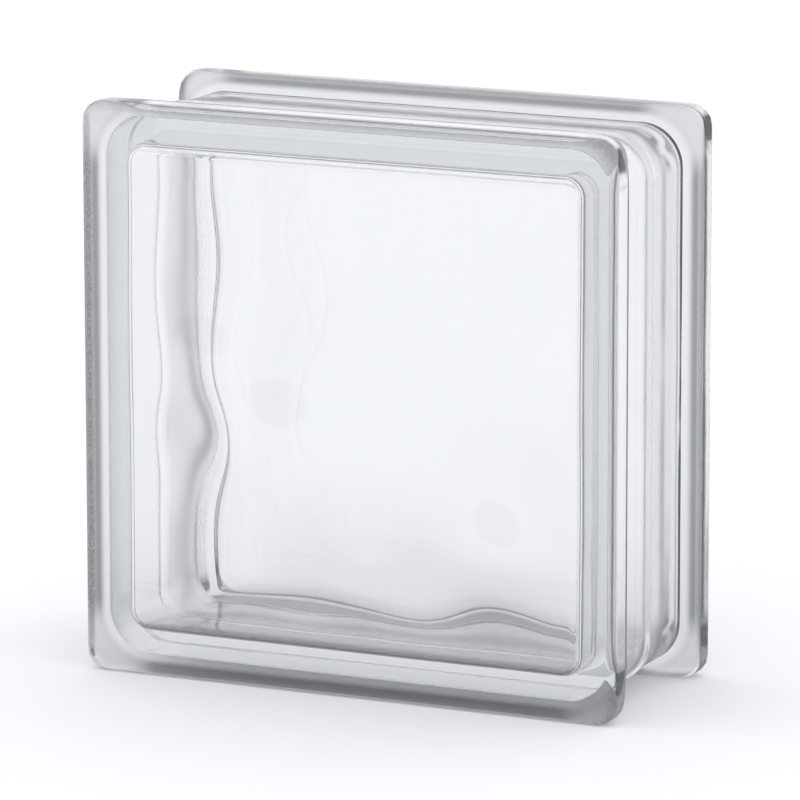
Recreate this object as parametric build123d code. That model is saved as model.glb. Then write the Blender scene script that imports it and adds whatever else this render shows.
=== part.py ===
from build123d import *
import os
from math import cos, exp, pi, radians, sin, tan

# A hollow pressed glass block: two equal half-shells fused rim to rim at mid depth.
# Frame: origin at the bottom centre, +X to the right, +Y to the rear pane, +Z up.
# Each half is drawn as it lies in its mould, pane down, and then stood upright.

# The block, in millimetres
block_width = 190.0
block_height = 190.0
block_depth = 80.0

# Flange round each pane
flange_land = 11.0          # depth of the flat rim before it turns down to the channel
flange_corner_radius = 7.0  # seen square on to the pane
arris_radius = 2.4          # rounding between the pane and the rim
rim_edge_radius = 2.2       # rounding where the rim turns into the flank
flank_angle = 68.0          # degrees between the flank and the block's axis

# Mortar channel between the two flanges
channel_depth = 5.6
channel_corner_radius = 14.0
channel_foot_radius = 6.0   # hollow rounding where the flank meets the channel floor
seam_bead_height = 0.9
seam_bead_half_width = 2.2

# Hollow inside
pane_thickness = 8.2        # mean, the relief goes above and below it
wall_thickness = 6.2        # edge wall at the seam
cavity_corner_radius = 9.0
cavity_draft = 6.0          # degrees
cavity_root_radius = 4.0    # rounding between the edge walls and the pane

# Relief on the inner face of each pane, x along the width and y along the height.
# Long swells: height, length, direction in degrees from the width, phase in degrees
swells = (
    (0.50, 95.0, 122.0, 145.0),
    (0.30, 58.0, 113.0, 132.0),
    (0.16, 38.0, 21.0, 0.0),
)
# Rounded hills and hollows: height, x, y, spread
hills = (
    (1.4, -58.0, 11.0, 9.0),
    (-0.9, -38.0, 15.0, 11.0),
    (-0.4, -50.0, -12.0, 10.0),
    (-0.9, 22.0, 77.0, 12.0),
    (1.4, 24.0, 51.0, 14.0),
    (0.5, 52.0, 74.0, 11.0),
    (-0.9, 50.0, 47.0, 12.0),
    (0.3, -14.0, 73.0, 10.0),
)
relief_margin = 2.0         # plain strip left between the root's rounding and the relief
relief_rise = 9.0           # width over which the relief grows to its full height
relief_samples = 33         # points across the spline surface, each way
foot_step = 0.12            # how far the root's rounding runs on below the pane's mean face
deepest_hollow = 3.0        # more than the lowest point of the relief

touch = 0.02                # how near counts as lying on a surface


def half_depth():
    return block_depth / 2


def pane_half_size(overall):
    """Half of the hollow's width or height where its drafted walls meet the pane."""
    at_mouth = overall / 2 - channel_depth - wall_thickness
    return at_mouth - (half_depth() - pane_thickness) * tan(radians(cavity_draft))


def relief_share(x, y):
    """0 along the walls and 1 where the relief has its full height."""
    from_side = pane_half_size(block_width) - abs(x)
    from_end = pane_half_size(block_height) - abs(y)
    past_margin = min(from_side, from_end) - cavity_root_radius - relief_margin
    share = min(max(past_margin / relief_rise, 0.0), 1.0)
    return share * share * (3 - 2 * share)


def relief_height(x, y):
    """Height of the pane's inner face over its mean at a point of the face."""
    height = 0.0
    for amplitude, length, direction, phase in swells:
        along = x * cos(radians(direction)) + y * sin(radians(direction))
        height += amplitude * sin(2 * pi * along / length + radians(phase))
    for rise, hill_x, hill_y, spread in hills:
        away = ((x - hill_x) ** 2 + (y - hill_y) ** 2) / spread**2
        height += rise * exp(-away / 2)
    return height * relief_share(x, y)


def blank():
    """Solid slab the size of one half, with the pane's arris rounded."""
    outline = RectangleRounded(block_width, block_height, flange_corner_radius)
    slab = extrude(outline, half_depth())
    return fillet(slab.faces().sort_by(Axis.Z)[0].edges(), arris_radius)


def channel_section():
    """Half of the mortar channel's section: x is outward from its floor, y is depth."""
    slope = radians(flank_angle)
    foot_out = channel_foot_radius * (1 - cos(slope))
    foot_deep = channel_foot_radius * sin(slope)
    rim_deep = flange_land
    foot_top = rim_deep + (channel_depth - foot_out) / tan(slope)
    clear_out = channel_corner_radius
    clear_deep = rim_deep - (clear_out - channel_depth) / tan(slope)
    bead_start = half_depth() - seam_bead_half_width
    bead_radius = (seam_bead_half_width**2 + seam_bead_height**2) / (2 * seam_bead_height)
    with BuildSketch() as section:
        with BuildLine():
            Line((clear_out, clear_deep), (foot_out, foot_top))
            foot_mid = radians(flank_angle / 2)
            ThreePointArc(
                (foot_out, foot_top),
                (
                    channel_foot_radius * (1 - cos(foot_mid)),
                    foot_top + foot_deep - channel_foot_radius * sin(foot_mid),
                ),
                (0, foot_top + foot_deep),
            )
            Line((0, foot_top + foot_deep), (0, bead_start))
            RadiusArc((0, bead_start), (seam_bead_height, half_depth()), bead_radius)
            Line((seam_bead_height, half_depth()), (clear_out, half_depth()))
            Line((clear_out, half_depth()), (clear_out, clear_deep))
        make_face()
    return section.sketch


def channel_ring():
    """The section swept round the block, as the mould's split ring has it."""
    floor_width = block_width - 2 * channel_depth
    floor_height = block_height - 2 * channel_depth
    path = RectangleRounded(floor_width, floor_height, channel_corner_radius).wire()
    start = Plane(origin=(floor_width / 2, 0, 0), x_dir=(1, 0, 0), z_dir=(0, -1, 0))
    return sweep(start * channel_section(), path=path)


def plunger_body():
    """The plunger that presses the hollow: tapered, with its foot rounded."""
    mouth_width = block_width - 2 * (channel_depth + wall_thickness)
    mouth_height = block_height - 2 * (channel_depth + wall_thickness)
    mouth = Plane.XY.offset(half_depth()) * RectangleRounded(
        mouth_width, mouth_height, cavity_corner_radius
    )
    body = extrude(mouth, -(half_depth() - pane_thickness + foot_step))
    sides = body.faces().filter_by(lambda face: abs(face.normal_at().Z) < touch)
    body = draft(sides, Plane(mouth.face()), -cavity_draft)
    foot = body.faces().sort_by(Axis.Z)[0].edges()
    return fillet(foot, cavity_root_radius)


def relief_face():
    """The pane's inner face as a spline surface, wider than the hollow's mouth."""
    span_x = block_width / 2 - channel_depth
    span_y = block_height / 2 - channel_depth
    steps = [2 * i / (relief_samples - 1) - 1 for i in range(relief_samples)]
    rows = [
        [
            Vector(u * span_x, v * span_y, pane_thickness + relief_height(u * span_x, v * span_y))
            for u in steps
        ]
        for v in steps
    ]
    return Face.make_surface_from_array_of_points(rows)


def cavity():
    """The hollow of one half: the plunger with the relief on its face."""
    inset = cavity_root_radius + relief_margin
    well = Plane.XY.offset(pane_thickness - deepest_hollow) * Rectangle(
        2 * (pane_half_size(block_width) - inset),
        2 * (pane_half_size(block_height) - inset),
    )
    plunger = plunger_body() + extrude(well, half_depth() - pane_thickness)
    above_relief = extrude(relief_face(), block_depth, dir=(0, 0, 1))
    return plunger & above_relief


def on_rim(edge):
    """True for an edge where the flat rim turns down into the channel."""
    middle = edge @ 0.5
    beyond_x = max(abs(middle.X) - block_width / 2 + flange_corner_radius, 0)
    beyond_y = max(abs(middle.Y) - block_height / 2 + flange_corner_radius, 0)
    from_outline = (beyond_x**2 + beyond_y**2) ** 0.5 - flange_corner_radius
    upright_edge = abs((edge % 0.5).Z) > 0.9
    past_arris = middle.Z > 1.5 * arris_radius
    return abs(from_outline) < touch and past_arris and not upright_edge


def half_shell():
    flanged = blank() - channel_ring()
    flanged = fillet(flanged.edges().filter_by(on_rim), rim_edge_radius)
    return flanged - cavity()


def upright(shell):
    """Stand a half up with its pane towards -Y and its lower edge on the floor."""
    stood = Rot(X=-90) * shell
    return Pos(0, -half_depth(), block_height / 2) * stood


os.makedirs("parts", exist_ok=True)

shell = half_shell()
front_half = upright(shell)
rear_half = Rot(Z=180) * front_half

export_step(front_half, "parts/front_half.step")
export_step(rear_half, "parts/rear_half.step")
print("half volume, cm3:", round(front_half.volume / 1000, 1))
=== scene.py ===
from math import cos, pi, radians, sin, sqrt, tan

import bmesh
import bpy
from mathutils import Matrix, Vector


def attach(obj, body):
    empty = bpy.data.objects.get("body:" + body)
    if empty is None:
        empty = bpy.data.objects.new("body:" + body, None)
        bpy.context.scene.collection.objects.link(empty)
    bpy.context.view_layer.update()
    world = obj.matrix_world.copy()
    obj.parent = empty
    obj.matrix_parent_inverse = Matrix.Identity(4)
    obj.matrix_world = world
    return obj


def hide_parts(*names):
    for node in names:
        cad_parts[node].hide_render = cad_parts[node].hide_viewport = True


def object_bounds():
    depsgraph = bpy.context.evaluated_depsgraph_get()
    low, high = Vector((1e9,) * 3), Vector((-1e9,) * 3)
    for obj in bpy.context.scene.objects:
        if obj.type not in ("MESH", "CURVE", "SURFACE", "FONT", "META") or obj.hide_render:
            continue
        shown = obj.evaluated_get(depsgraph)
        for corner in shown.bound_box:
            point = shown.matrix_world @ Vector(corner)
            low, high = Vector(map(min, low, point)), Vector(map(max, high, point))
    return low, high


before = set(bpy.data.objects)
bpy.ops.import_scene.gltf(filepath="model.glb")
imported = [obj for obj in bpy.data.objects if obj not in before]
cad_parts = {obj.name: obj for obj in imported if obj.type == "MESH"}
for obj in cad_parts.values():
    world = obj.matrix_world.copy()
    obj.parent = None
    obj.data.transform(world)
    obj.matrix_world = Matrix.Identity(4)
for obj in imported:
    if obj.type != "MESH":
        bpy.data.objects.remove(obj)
cadLow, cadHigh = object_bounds()
mm = 0.001
print("glass block: frame loaded")

# The camera looks from the front right and a little above, with a long lens, as in the photo.
cameraSetup = {
    "azimuth": 25.26,       # degrees round to the right of the front pane
    "elevation": 11.71,
    "roll": -0.075,
    "distance": 2200,       # millimetres from the middle of the block
    "aimRight": 0.997,      # millimetres the aim lies off the middle
    "aimUp": -3.671,
    "pixelsPerMm": 3.063,   # of the photo, at the middle of the block
    "imagePixels": 800,
    "sensorWidth": 36,
    "clipEnd": 100,         # metres
}

# The block in millimetres, as its two halves lie in the mould. Depth runs from pane to seam.
blockShape = {
    "flangeLand": 11.0,         # depth of the rim before it turns down to the channel
    "flangeCorner": 7.0,
    "arris": 3.0,               # rounding between the pane and the rim
    "arrisBorder": (1.2, 0.4),  # how far inside the arris two more rings run on the pane
    "rimEdge": 2.2,             # rounding where the rim turns into the flank
    "flankAngle": 68.0,         # degrees between the flank and the block's axis
    "channelDepth": 5.6,
    "channelCorner": 14.0,
    "channelFoot": 0.6,         # rounding where the flank meets the channel's floor
    "beadHeight": 1.1,
    "beadHalfWidth": 2.4,
    "paneThickness": 6.8,
    "wallThickness": 6.2,       # at the seam
    "cavityCorner": 9.0,
    "cavityDraft": 4.0,         # degrees
    "cavityRoot": 4.0,          # rounding between the hollow's walls and the pane
    # mesh steps along one straight side, round one corner, and over each part of the section
    "steps": {
        "side": 72,
        "corner": 14,
        "arris": 6,
        "rim": 5,
        "edge": 6,
        "flank": 3,
        "foot": 8,
        "floor": 10,
        "bead": 8,
        "wall": 14,
        "root": 9,
    },
}

# The relief pressed into the inner face of each pane, in the mould's own directions:
# x along the width and y down from the middle, seen from outside, all in millimetres.
paneRelief = {
    # long swells: height, length, direction in degrees, phase in degrees
    "swells": {
        "broad": (0.50, 95.0, 122.0, 145.0),
        "cross": (0.30, 58.0, 113.0, 132.0),
        "short": (0.16, 38.0, 21.0, 0.0),
    },
    # rounded hills and hollows: height, x, y, spread
    "hills": {
        "leftHill": (1.4, -58.0, 11.0, 9.0),
        "leftHollow": (-0.9, -38.0, 15.0, 11.0),
        "leftDip": (-0.4, -50.0, -12.0, 10.0),
        "lowHollow": (-0.9, 22.0, 77.0, 12.0),
        "lowHill": (1.4, 24.0, 51.0, 14.0),
        "rightHill": (0.5, 52.0, 74.0, 11.0),
        "rightHollow": (-0.9, 50.0, 47.0, 12.0),
        "cornerHill": (0.3, -14.0, 73.0, 10.0),
    },
    "rootShare": 0.5,       # how much of the relief is left at the foot of the walls
    "fadeFrom": 6.0,        # distance from the wall where it starts to grow
    "fadeTo": 15.0,         # and where it is whole
    "wallReach": 10.0,      # how far up the wall it dies out
    "uneven": 0.12,         # unevenness of the hollow's walls as the mould left them
    "unevenLength": 26.0,
    "unevenDetail": 1.0,
    "unevenSeed": 7.0,
    "wallFrom": 10.0,       # depth where it starts on the walls
    "wallTo": 18.0,         # and where it is whole
    "floorFrom": 15.0,      # the same for the channel's floor
    "floorTo": 20.0,
    "floorShare": 0.4,      # how much of it the channel's floor has
}


def halfSpan(axis):
    return (cadHigh[axis] - cadLow[axis]) / 2 / mm


halfWidth, halfDepth, halfHeight = halfSpan(0), halfSpan(1), halfSpan(2)
# the centre of each corner's fan of rays, which is also that of the channel's corner
cornerX = halfWidth - blockShape["channelDepth"] - blockShape["channelCorner"]
cornerZ = halfHeight - blockShape["channelDepth"] - blockShape["channelCorner"]


def placeCamera(setup):
    azimuth, elevation, roll = (radians(setup[k]) for k in ("azimuth", "elevation", "roll"))
    back = Vector((sin(azimuth) * cos(elevation), -cos(azimuth) * cos(elevation), sin(elevation)))
    level = Vector((cos(azimuth), sin(azimuth), 0))
    up = back.cross(level)
    right = level * cos(roll) + up * sin(roll)
    up = up * cos(roll) - level * sin(roll)
    middle = (cadLow + cadHigh) / 2
    eye = middle + (back * setup["distance"] + right * setup["aimRight"] + up * setup["aimUp"]) * mm
    cameraData = bpy.data.cameras.new("photoCamera")
    cameraData.sensor_width = setup["sensorWidth"]
    focal = setup["pixelsPerMm"] * setup["distance"] / setup["imagePixels"]
    cameraData.lens = focal * setup["sensorWidth"]
    cameraData.clip_end = setup["clipEnd"]
    camera = bpy.data.objects.new("photoCamera", cameraData)
    bpy.context.scene.collection.objects.link(camera)
    turn = Matrix((right, up, back)).transposed().to_4x4()
    camera.matrix_world = Matrix.Translation(eye) @ turn
    bpy.context.scene.camera = camera


placeCamera(cameraSetup)
print("glass block: camera placed")


# Outlines. Every ring round the block has the same count of points, side by side with the
# next ring's: a straight stretch for each side and a fan of rays for each corner.
def cornerReach(extent, radius, angle):
    # distance from the fan's centre to a rounded corner, along one ray
    c, s = cos(angle), sin(angle)
    straight = extent - radius
    if extent * s <= straight * c:
        return extent / c
    if extent * c <= straight * s:
        return extent / s
    along = straight * (c + s)
    return along + sqrt(max(along * along - 2 * straight * straight + radius * radius, 0))


def ringPlan(steps):
    # for each point its corner, then its angle there or its share along the side before it
    plan = []
    for corner in range(4):
        plan += [(corner, None, i / steps["side"]) for i in range(steps["side"])]
        plan += [(corner, radians(90) * i / steps["corner"], None) for i in range(steps["corner"])]
    return plan


def ringPoints(plan, centreX, centreZ, reach):
    # the stretch before corner 0 is the right side, going up, and before the others lie the
    # top, the left side and the bottom
    points = []
    signs = ((1, 1), (-1, 1), (-1, -1), (1, -1))
    for corner, angle, share in plan:
        signX, signZ = signs[corner]
        cornerAt = Vector((signX * centreX, signZ * centreZ))
        heading = radians(90) * corner
        if angle is None:
            beforeX, beforeZ = signs[corner - 1]
            start = Vector((beforeX * centreX, beforeZ * centreZ))
            base = start.lerp(cornerAt, share)
            distance = reach(0.0)
        else:
            base = cornerAt
            distance = reach(angle)
            heading += angle
        points.append(base + Vector((cos(heading), sin(heading))) * distance)
    return points


def shares(count):
    # equal shares of a stretch, without its start and with its end
    return [k / count for k in range(1, count + 1)]


def flankProfile(shape, rimReach):
    # the rim, its rounded edge, the flank and its foot along one ray of a corner's fan, as
    # (reach from the fan's centre, depth from the pane)
    steps = shape["steps"]
    slope = radians(shape["flankAngle"])
    floor, foot, edge = shape["channelCorner"], shape["channelFoot"], shape["rimEdge"]
    footOut = foot * (1 - cos(slope))
    footTop = shape["flangeLand"] + (shape["channelDepth"] - footOut) / tan(slope)
    # a flank that reaches further out starts nearer to the pane
    rimOut = rimReach - floor
    rimDeep = shape["flangeLand"] - (rimOut - shape["channelDepth"]) / tan(slope)
    rimTop = shape["arris"]
    rimLow = rimDeep - edge * tan(slope / 2)
    profile = [(rimReach, rimTop + (rimLow - rimTop) * share) for share in shares(steps["rim"])]
    for share in shares(steps["edge"]):
        a = slope * share
        profile.append((rimReach - edge + edge * cos(a), rimLow + edge * sin(a)))
    flankStart = profile[-1]
    flankEnd = (floor + footOut, footTop)
    for share in shares(steps["flank"]):
        profile.append(tuple(p + (q - p) * share for p, q in zip(flankStart, flankEnd)))
    for share in shares(steps["foot"]):
        a = slope * (1 - share)
        profile.append((floor + foot * (1 - cos(a)), footTop + foot * (sin(slope) - sin(a))))
    return profile


def floorProfile(shape, startDeep):
    # the channel's floor and half of the seam bead, the same along every ray
    floor, halfBead = shape["channelCorner"], shape["beadHalfWidth"]
    steps = shape["steps"]
    beadFrom = halfDepth - halfBead
    profile = [(floor, startDeep + (beadFrom - startDeep) * share) for share in shares(steps["floor"])]
    for share in shares(steps["bead"]):
        rise = shape["beadHeight"] * (1 - cos(pi * share)) / 2
        profile.append((floor + rise, beadFrom + halfBead * share))
    return profile


def outerRings(shape, plan):
    # rings of (x, z, depth) from the pane's edge to the seam, both included
    rimExtent = shape["channelCorner"] + shape["channelDepth"]
    arris, border = shape["arris"], shape["arrisBorder"]
    arc = [pi / 2 * share for share in [0.0] + shares(shape["steps"]["arris"])]
    insets = [arris + more for more in border] + [arris * (1 - sin(a)) for a in arc]
    deeps = [0.0] * len(border) + [arris * (1 - cos(a)) for a in arc]
    rings = []
    for inset, deep in zip(insets, deeps):
        extent, radius = rimExtent - inset, shape["flangeCorner"] - inset
        flat = ringPoints(plan, cornerX, cornerZ, lambda a: cornerReach(extent, radius, a))
        rings.append([(p.x, p.y, deep) for p in flat])
    angles = [angle or 0.0 for corner, angle, share in plan]
    profiles = {}
    for angle in set(angles):
        flank = flankProfile(shape, cornerReach(rimExtent, shape["flangeCorner"], angle))
        profiles[angle] = flank + floorProfile(shape, flank[-1][1])
    for k in range(len(profiles[0.0])):
        flat = ringPoints(plan, cornerX, cornerZ, lambda a: profiles[a][k][0])
        rings.append([(p.x, p.y, profiles[a][k][1]) for p, a in zip(flat, angles)])
    return rings


def cavityRings(shape, plan):
    # rings from the seam to the edge of the pane's inner face, and the last one's corner
    draft = tan(radians(shape["cavityDraft"]))
    inner = shape["channelDepth"] + shape["wallThickness"] + shape["cavityCorner"]
    centreX, centreZ = halfWidth - inner, halfHeight - inner
    # the root's rounding is tangent to the drafted wall and to the pane
    root, paneDeep = shape["cavityRoot"], shape["paneThickness"]
    slope = radians(90 - shape["cavityDraft"])
    arcDeep = paneDeep + root
    arcCentre = shape["cavityCorner"] - (halfDepth - paneDeep) * draft - root * tan(slope / 2)
    wallEnd = arcDeep - root * cos(slope)
    stations = []
    for share in [0.0] + shares(shape["steps"]["wall"]):
        deep = halfDepth + (wallEnd - halfDepth) * share
        stations.append((shape["cavityCorner"] - (halfDepth - deep) * draft, deep))
    for share in shares(shape["steps"]["root"]):
        a = slope * (1 - share)
        stations.append((arcCentre + root * sin(a), arcDeep - root * cos(a)))
    stations.append((0.0, paneDeep))
    rings = []
    for reach, deep in stations:
        flat = ringPoints(plan, centreX, centreZ, lambda a: max(reach, 0.0))
        rings.append([(p.x, p.y, deep) for p in flat])
    return rings, (centreX, centreZ)


def addPoint(bm, x, z, deep, side):
    # side is -1 for the front half and 1 for the rear half
    return bm.verts.new((x * mm, side * (halfDepth - deep) * mm, (z + halfHeight) * mm))


def addRing(bm, ring, side):
    return [addPoint(bm, x, z, deep, side) for x, z, deep in ring]


def bridge(bm, first, second):
    count = len(first)
    for i in range(count):
        j = (i + 1) % count
        bm.faces.new((first[i], first[j], second[j], second[i]))


def addPaneGrid(bm, ring, innerCorner, side, shape):
    # the inner face of a pane: a square grid whose edge is the last ring
    centreX, centreZ = innerCorner
    steps = shape["steps"]["side"]
    row = steps + shape["steps"]["corner"]
    grid = {}
    for i in range(steps + 1):
        # right side goes up, top goes left, left side goes down, bottom goes right
        grid[(steps, i)] = ring[i]
        grid[(steps - i, steps)] = ring[row + i]
        grid[(0, steps - i)] = ring[2 * row + i]
        grid[(i, 0)] = ring[(3 * row + i) % len(ring)]
    for i in range(1, steps):
        for j in range(1, steps):
            x = centreX * (2 * i / steps - 1)
            z = centreZ * (2 * j / steps - 1)
            grid[(i, j)] = addPoint(bm, x, z, shape["paneThickness"], side)
    for i in range(steps):
        for j in range(steps):
            bm.faces.new((grid[(i, j)], grid[(i + 1, j)], grid[(i + 1, j + 1)], grid[(i, j + 1)]))


def closeSkin(bm, within=0.01, sliver=0.001):
    # merges the rings' shared points, by distances in millimetres, and turns the faces outwards
    bmesh.ops.remove_doubles(bm, verts=bm.verts, dist=within * mm)
    bmesh.ops.dissolve_degenerate(bm, edges=bm.edges, dist=sliver * mm)
    bmesh.ops.recalc_face_normals(bm, faces=bm.faces)
    return bm


def outerSkin(shape, plan):
    # both halves' outside, joined at the seam
    bm = bmesh.new()
    rings = outerRings(shape, plan)
    seam = addRing(bm, rings[-1], 1)
    for side in (-1, 1):
        rows = [addRing(bm, ring, side) for ring in rings[:-1]] + [seam]
        for first, second in zip(rows, rows[1:]):
            bridge(bm, first, second)
        bm.faces.new(rows[0])
    return closeSkin(bm)


def cavitySkin(shape, plan):
    # the hollow's own skin, turned to face the air inside
    bm = bmesh.new()
    rings, innerCorner = cavityRings(shape, plan)
    seam = addRing(bm, rings[0], 1)
    for side in (-1, 1):
        rows = [seam] + [addRing(bm, ring, side) for ring in rings[1:]]
        for first, second in zip(rows, rows[1:]):
            bridge(bm, first, second)
        addPaneGrid(bm, rows[-1], innerCorner, side, shape)
    closeSkin(bm)
    bmesh.ops.reverse_faces(bm, faces=bm.faces)
    return bm


def buildBlock(shape):
    # both skins in one mesh, with the hollow's points marked for the relief
    plan = ringPlan(shape["steps"])
    bm = bmesh.new()
    for skin, inHollow in ((outerSkin(shape, plan), 0.0), (cavitySkin(shape, plan), 1.0)):
        mark = skin.verts.layers.float.new("hollow")
        for vert in skin.verts:
            vert[mark] = inHollow
        skinMesh = bpy.data.meshes.new("skin")
        skin.to_mesh(skinMesh)
        skin.free()
        bm.from_mesh(skinMesh)
        bpy.data.meshes.remove(skinMesh)
    mesh = bpy.data.meshes.new("blankBlock")
    bm.to_mesh(mesh)
    bm.free()
    mesh.shade_smooth()
    blank = bpy.data.objects.new("blankBlock", mesh)
    bpy.context.scene.collection.objects.link(blank)
    return blank


# Node helpers, for the relief and for the materials
def plug(tree, socket, value):
    # a link from another node's socket, or a plain value
    if isinstance(value, bpy.types.NodeSocket):
        tree.links.new(value, socket)
    else:
        socket.default_value = value


def addNode(tree, kind, sockets=None, **settings):
    # sockets holds links or plain values by the name or number of an input. Of a Mix node, 0 is
    # the factor, 2 and 3 are its numbers and 6 and 7 its colours.
    node = tree.nodes.new(kind)
    for key, value in settings.items():
        setattr(node, key, value)
    for name, value in (sockets or {}).items():
        plug(tree, node.inputs[name], value)
    return node


def calc(tree, operation, *values):
    return addNode(tree, "ShaderNodeMath", dict(enumerate(values)), operation=operation).outputs[0]


def product(tree, first, *others):
    for other in others:
        first = calc(tree, "MULTIPLY", first, other)
    return first


def ease(tree, value, between, start=0.0, end=1.0):
    # start below the first of two places, end above the second, and a soft change between
    sockets = dict(enumerate((value, *between, start, end)))
    return addNode(tree, "ShaderNodeMapRange", sockets, interpolation_type="SMOOTHSTEP").outputs[0]


def nameInputs(tree, relief):
    # adds the tree's sockets, and returns the value of each by its identifier
    named = {}
    for words, group in ((("height", "length", "direction", "phase"), relief["swells"]),
                         (("height", "x", "y", "spread"), relief["hills"])):
        for name, numbers in group.items():
            named.update({f"{name} {word}": value for word, value in zip(words, numbers)})
    named.update({word: value for word, value in relief.items() if not isinstance(value, dict)})
    inner = blockShape["channelDepth"] + blockShape["wallThickness"]
    rise = (halfDepth - blockShape["paneThickness"]) * tan(radians(blockShape["cavityDraft"]))
    named["hollowHalfWidth"] = halfWidth - inner - rise
    named["hollowHalfHeight"] = halfHeight - inner - rise
    named["paneThickness"] = blockShape["paneThickness"]
    face = tree.interface
    face.new_socket("Geometry", in_out="INPUT", socket_type="NodeSocketGeometry")
    face.new_socket("Geometry", in_out="OUTPUT", socket_type="NodeSocketGeometry")
    values = {}
    for name, value in named.items():
        socket = face.new_socket(name, in_out="INPUT", socket_type="NodeSocketFloat")
        values[socket.identifier] = value
    return values


def swellWave(tree, size, swell, x, y):
    way = calc(tree, "RADIANS", size[f"{swell} direction"])
    phase = calc(tree, "RADIANS", size[f"{swell} phase"])
    along = calc(tree, "ADD", product(tree, x, calc(tree, "COSINE", way)),
                 product(tree, y, calc(tree, "SINE", way)))
    turns = calc(tree, "DIVIDE", product(tree, along, 2 * pi), size[f"{swell} length"])
    return calc(tree, "SINE", calc(tree, "ADD", turns, phase))


def hillBell(tree, size, hill, x, y):
    spread = size[f"{hill} spread"]
    offX = calc(tree, "DIVIDE", calc(tree, "SUBTRACT", x, size[f"{hill} x"]), spread)
    offY = calc(tree, "DIVIDE", calc(tree, "SUBTRACT", y, size[f"{hill} y"]), spread)
    away = calc(tree, "MULTIPLY_ADD", offX, offX, product(tree, offY, offY))
    return calc(tree, "EXPONENT", product(tree, away, -0.5))


def reliefShare(tree, size, x, y, deep):
    # grows from the foot of the hollow's walls to its whole height, and dies out up the walls
    fromSide = calc(tree, "SUBTRACT", size["hollowHalfWidth"], calc(tree, "ABSOLUTE", x))
    fromTop = calc(tree, "SUBTRACT", size["hollowHalfHeight"], calc(tree, "ABSOLUTE", y))
    fromWall = calc(tree, "MINIMUM", fromSide, fromTop)
    onPane = ease(tree, fromWall, (size["fadeFrom"], size["fadeTo"]), size["rootShare"], 1.0)
    wallEnd = calc(tree, "ADD", size["paneThickness"], size["wallReach"])
    return product(tree, onPane, ease(tree, deep, (size["paneThickness"], wallEnd), 1.0, 0.0))


def unevenPush(tree, size, place, deep, hollow):
    # along the normal, on the hollow's walls and a little on the channel's floor
    noise = addNode(tree, "ShaderNodeTexNoise", {
        "Vector": place,
        "W": size["unevenSeed"],
        "Scale": calc(tree, "DIVIDE", 1 / mm, size["unevenLength"]),
        "Detail": size["unevenDetail"],
    }, noise_dimensions="4D", normalize=False)
    onFloor = ease(tree, deep, (size["floorFrom"], size["floorTo"]), 0.0, size["floorShare"])
    onWall = ease(tree, deep, (size["wallFrom"], size["wallTo"]))
    share = addNode(tree, "ShaderNodeMix", {0: hollow, 2: onFloor, 3: onWall}, data_type="FLOAT")
    much = product(tree, share.outputs[0], size["uneven"])
    push = product(tree, noise.outputs[0], much, mm)
    normal = addNode(tree, "GeometryNodeInputNormal").outputs[0]
    bend = addNode(tree, "ShaderNodeVectorMath", {0: normal, "Scale": push}, operation="SCALE")
    return bend.outputs[0]


def reliefTree(relief, material):
    tree = bpy.data.node_groups.new("pressedRelief", "GeometryNodeTree")
    values = nameInputs(tree, relief)
    size = addNode(tree, "NodeGroupInput").outputs
    place = addNode(tree, "GeometryNodeInputPosition").outputs[0]
    blockX, blockY, blockZ = addNode(tree, "ShaderNodeSeparateXYZ", {0: place}).outputs
    side = calc(tree, "SIGN", blockY)
    # the mould's own directions, in millimetres
    x = product(tree, calc(tree, "DIVIDE", blockX, -mm), side)
    y = calc(tree, "SUBTRACT", halfHeight, calc(tree, "DIVIDE", blockZ, mm))
    fromSeam = calc(tree, "ABSOLUTE", calc(tree, "DIVIDE", blockY, mm))
    deep = calc(tree, "SUBTRACT", halfDepth, fromSeam)
    height = 0.0
    for swell in relief["swells"]:
        wave = swellWave(tree, size, swell, x, y)
        height = calc(tree, "MULTIPLY_ADD", wave, size[f"{swell} height"], height)
    for hill in relief["hills"]:
        bell = hillBell(tree, size, hill, x, y)
        height = calc(tree, "MULTIPLY_ADD", bell, size[f"{hill} height"], height)
    mark = addNode(tree, "GeometryNodeInputNamedAttribute", {"Name": "hollow"}, data_type="FLOAT")
    hollow = mark.outputs["Attribute"]
    share = product(tree, reliefShare(tree, size, x, y, deep), hollow)
    lift = product(tree, height, share, -mm, side)
    push = addNode(tree, "ShaderNodeCombineXYZ", {"Y": lift}).outputs[0]
    bend = unevenPush(tree, size, place, deep, hollow)
    both = addNode(tree, "ShaderNodeVectorMath", {0: push, 1: bend}, operation="ADD").outputs[0]
    move = addNode(tree, "GeometryNodeSetPosition", {"Geometry": size["Geometry"], "Offset": both})
    real = addNode(tree, "GeometryNodeRealizeInstances", {0: move.outputs[0]})
    finish = addNode(tree, "GeometryNodeSetMaterial",
                     {"Geometry": real.outputs[0], "Material": material})
    addNode(tree, "NodeGroupOutput", {0: finish.outputs[0]})
    return tree, values


def pressRelief(blank, relief, material):
    # runs the tree once and keeps its result as a plain mesh
    tree, values = reliefTree(relief, material)
    press = blank.modifiers.new("pressedRelief", "NODES")
    press.node_group = tree
    for socket, value in values.items():
        press[socket] = value
    seen = blank.evaluated_get(bpy.context.evaluated_depsgraph_get())
    mesh = bpy.data.meshes.new_from_object(seen)
    mesh.name = "glass_block"
    bpy.data.objects.remove(blank)
    block = bpy.data.objects.new("glass_block", mesh)
    bpy.context.scene.collection.objects.link(block)
    mesh.shade_smooth()
    return block


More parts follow.
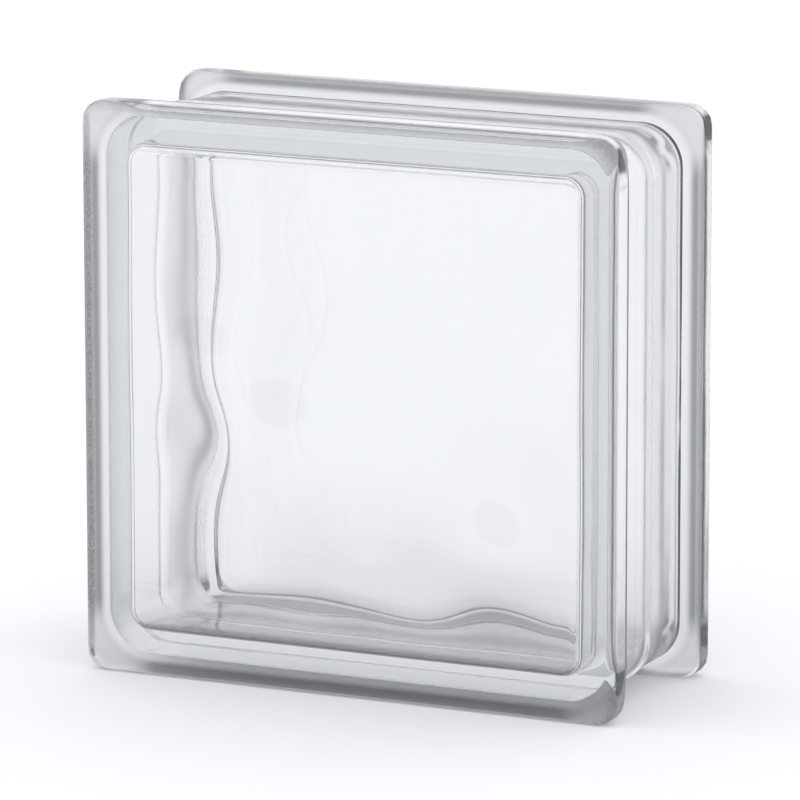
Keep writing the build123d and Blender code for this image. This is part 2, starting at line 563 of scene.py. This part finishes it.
# The glass: fire-polished on the panes and in the hollow, satin on the rims and the channel's
# floor, and frosted and grainy on the flanks that take the mortar. A pair of numbers says where
# a finish sets in and where it is whole.
# The grey base colour on the flanks is painted shade. It stands in for the dim light that the frosted
# glass passes on, and the frost itself is the roughness.
glassFinish = {
    "ior": 1.52,
    "tint": (0.785, 0.80, 0.82),    # with the density, what the glass keeps of each colour
    "density": 15.0,
    "satin": 0.22,                  # roughness of the channel's floor and its foot
    "rimSatin": 0.08,               # and of the rims
    "frosted": 0.65,                # and of the flanks
    # painted shade: the grey base colour of the frosted flanks
    "frostShadeColour": (0.17, 0.175, 0.185),
    "shadeOnEdge": 0.8,             # what is left of the painted grey shade where the flank rounds over
    "shadeInCorner": 0.35,          # and in the corners of the block
    "grainSize": 0.7,
    "grainDetail": 2.0,
    "grainHeight": 0.50,
    "grainElsewhere": 0.12,         # share of the grain away from the flank's edge
    "grainInCorner": 0.1,           # and on that edge in the corners of the block
    # millimetres out from the channel's floor
    "satinOut": (-2.0, -0.5),
    "mattOut": (0.0, 0.4),
    # where the flanks' painted grey shade and their faint grain set in
    "shadeAndGrainOut": (1.3, 3.6),
    "edgeOut": (4.3, 4.8),          # where the flank rounds over to the rim
    # millimetres in from the pane
    "arrisDeep": (0.3 * blockShape["arris"], blockShape["arris"]),
    "rimDeep": (6.0, 9.0),          # from the rim's satin to the channel's
    "grainDeep": (8.0, 9.0),
    "flankDeep": (8.5, 9.5),        # where the rim turns down
    "footDeep": (17.0, 20.0),       # where the flank's foot has ended
    # millimetres into a corner of the block
    "shadeCorner": (-4.0, 7.0),
    "grainCorner": (-4.0, 3.0),
}


def newMaterial(name):
    material = bpy.data.materials.new(name)
    material.use_nodes = True
    tree = material.node_tree
    tree.nodes.clear()
    return material, tree


def placeOnBlock(tree):
    # object coordinates, and millimetres out from the channel's floor, in from the nearer pane
    # and into a corner of the block
    place = addNode(tree, "ShaderNodeTexCoord").outputs["Object"]
    split = addNode(tree, "ShaderNodeSeparateXYZ", {0: place})
    x, y, z = (calc(tree, "DIVIDE", axis, mm) for axis in split.outputs)
    pastX = calc(tree, "SUBTRACT", calc(tree, "ABSOLUTE", x), cornerX)
    offZ = calc(tree, "ABSOLUTE", calc(tree, "SUBTRACT", z, halfHeight))
    pastZ = calc(tree, "SUBTRACT", offZ, cornerZ)
    beyondX, beyondZ = (calc(tree, "MAXIMUM", past, 0.0) for past in (pastX, pastZ))
    square = calc(tree, "MULTIPLY_ADD", beyondX, beyondX, product(tree, beyondZ, beyondZ))
    inside = calc(tree, "MINIMUM", calc(tree, "MAXIMUM", pastX, pastZ), 0.0)
    reach = calc(tree, "ADD", calc(tree, "SQRT", square), inside)
    out = calc(tree, "SUBTRACT", reach, blockShape["channelCorner"])
    deep = calc(tree, "SUBTRACT", halfDepth, calc(tree, "ABSOLUTE", y))
    return place, out, deep, calc(tree, "MINIMUM", pastX, pastZ)


def roughness(tree, finish, out, deep):
    # the hollow foot of the flank is as matt as the flank, but it has none of the flank's painted grey
    # shade
    smooth = ease(tree, deep, finish["rimDeep"], finish["rimSatin"], finish["satin"])
    satin = product(tree, ease(tree, out, finish["satinOut"]), smooth,
                    ease(tree, deep, finish["arrisDeep"]))
    matt = product(tree, ease(tree, out, finish["mattOut"]), ease(tree, deep, finish["flankDeep"]),
                   ease(tree, deep, finish["footDeep"], 1.0, 0.0))
    return calc(tree, "MULTIPLY_ADD", matt, finish["frosted"] - finish["satin"], satin)


# where the frosted flanks take their painted grey shade, which stands in for the dim light they pass
# on
def frostShadeShare(tree, finish, out, deep, intoCorner):
    return product(tree, ease(tree, out, finish["shadeAndGrainOut"]), ease(tree, deep, finish["flankDeep"]),
                   ease(tree, out, finish["edgeOut"], 1.0, finish["shadeOnEdge"]),
                   ease(tree, intoCorner, finish["shadeCorner"], 1.0, finish["shadeInCorner"]))


def grainShare(tree, finish, out, deep, intoCorner):
    # strong where the flank rounds over to the rim, and faint on the rest of both
    onEdge = product(tree, ease(tree, out, finish["edgeOut"]), ease(tree, deep, finish["grainDeep"]),
                     ease(tree, intoCorner, finish["grainCorner"], 1.0, finish["grainInCorner"]))
    elsewhere = product(tree, ease(tree, out, finish["shadeAndGrainOut"]),
                        ease(tree, deep, finish["arrisDeep"]), finish["grainElsewhere"])
    return calc(tree, "MAXIMUM", onEdge, elsewhere)


def clearGlass(finish):
    material, tree = newMaterial("clearGlass")
    place, out, deep, intoCorner = placeOnBlock(tree)
    grain = addNode(tree, "ShaderNodeTexNoise", {
        "Vector": place,
        "Scale": 1 / (finish["grainSize"] * mm),
        "Detail": finish["grainDetail"],
    })
    bump = addNode(tree, "ShaderNodeBump", {
        "Distance": finish["grainHeight"] * mm,
        "Strength": grainShare(tree, finish, out, deep, intoCorner),
        "Height": grain.outputs[0],
    })
    # white base colour, with the flanks' painted grey shade mixed in
    colour = addNode(tree, "ShaderNodeMix", {
        0: frostShadeShare(tree, finish, out, deep, intoCorner),
        6: (1, 1, 1, 1),
        7: (*finish["frostShadeColour"], 1),
    }, data_type="RGBA")
    shader = addNode(tree, "ShaderNodeBsdfPrincipled", {
        "Base Color": colour.outputs[2],
        "IOR": finish["ior"],
        "Transmission Weight": 1.0,
        "Roughness": roughness(tree, finish, out, deep),
        "Normal": bump.outputs[0],
    }, distribution="MULTI_GGX")
    depth = addNode(tree, "ShaderNodeVolumeAbsorption",
                    {"Color": (*finish["tint"], 1), "Density": finish["density"]})
    addNode(tree, "ShaderNodeOutputMaterial",
            {"Surface": shader.outputs[0], "Volume": depth.outputs[0]})
    return material


blank = buildBlock(blockShape)
print(f"glass block: blank built, {len(blank.data.polygons)} faces")
block = pressRelief(blank, paneRelief, clearGlass(glassFinish))
print(f"glass block: relief pressed, {len(block.data.polygons)} faces")

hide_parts("front_half", "rear_half")
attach(block, "root")


# Floor and light. Camera, glossy and transmitted rays see a white sweep behind the block,
# and the room in front of it is darker, which is what draws the edges of clear glass.
studio = {
    "light": (0.975, 0.985, 1.0),
    "floorHalfSize": 12,    # metres
    "floorColour": 0.86,
    "floorGlow": 0.12,      # what camera rays see of it beside its lit colour
    "floorInGlass": 0.0,    # the same for glossy and transmitted rays: more burns out the pane
    "roomFront": 0.05,
    "roomRear": 1.0,
    "turn": (-0.95, -0.50),  # from front to rear, by how far a direction points to the rear
    "dome": 1.15,           # what lights the floor
    "lightSteps": 16,       # how often a light path may meet glass
    "mirrorSteps": 4,       # and how often it may be reflected there
}


def seenRays(tree):
    # camera rays, and glossy and transmitted rays, 1 for each kind
    path = addNode(tree, "ShaderNodeLightPath").outputs
    inGlass = calc(tree, "MAXIMUM", path["Is Glossy Ray"], path["Is Transmission Ray"])
    return path["Is Camera Ray"], inGlass


def plainFloor(setup):
    bm = bmesh.new()
    bmesh.ops.create_grid(bm, x_segments=1, y_segments=1, size=setup["floorHalfSize"])
    mesh = bpy.data.meshes.new("studioFloor")
    bm.to_mesh(mesh)
    bm.free()
    floor = bpy.data.objects.new("studioFloor", mesh)
    bpy.context.scene.collection.objects.link(floor)
    material, tree = newMaterial("paleFloor")
    pale = [setup["floorColour"] * c for c in setup["light"]]
    matt = addNode(tree, "ShaderNodeBsdfDiffuse", {"Color": (*pale, 1)})
    toCamera, inGlass = seenRays(tree)
    strength = calc(tree, "MULTIPLY_ADD", toCamera, setup["floorGlow"],
                    product(tree, inGlass, setup["floorInGlass"]))
    glow = addNode(tree, "ShaderNodeEmission", {"Strength": strength})
    both = addNode(tree, "ShaderNodeAddShader", {0: matt.outputs[0], 1: glow.outputs[0]})
    addNode(tree, "ShaderNodeOutputMaterial", {"Surface": both.outputs[0]})
    mesh.materials.append(material)


def studioRoom(setup):
    world = bpy.data.worlds.new("studioRoom")
    world.use_nodes = True
    tree = world.node_tree
    tree.nodes.clear()
    direction = addNode(tree, "ShaderNodeTexCoord").outputs["Generated"]
    split = addNode(tree, "ShaderNodeSeparateXYZ", {0: direction})
    room = ease(tree, split.outputs["Y"], setup["turn"], setup["roomFront"], setup["roomRear"])
    # camera rays see plain white, glossy and transmitted rays the room, the rest the dome
    toCamera, inGlass = seenRays(tree)
    dome = product(tree, calc(tree, "SUBTRACT", 1.0, inGlass), setup["dome"])
    indirect = calc(tree, "MULTIPLY_ADD", inGlass, room, dome)
    colour = addNode(tree, "ShaderNodeMix",
                     {0: toCamera, 6: (*setup["light"], 1), 7: (1, 1, 1, 1)}, data_type="RGBA")
    sky = addNode(tree, "ShaderNodeBackground", {
        "Color": colour.outputs[2],
        "Strength": calc(tree, "MAXIMUM", toCamera, indirect),
    })
    addNode(tree, "ShaderNodeOutputWorld", {"Surface": sky.outputs[0]})
    bpy.context.scene.world = world


plainFloor(studio)
studioRoom(studio)
bpy.context.scene.view_settings.view_transform = "Standard"
paths = bpy.context.scene.cycles
paths.max_bounces = paths.transmission_bounces = studio["lightSteps"]
paths.glossy_bounces = studio["mirrorSteps"]
print("glass block: floor and room ready")
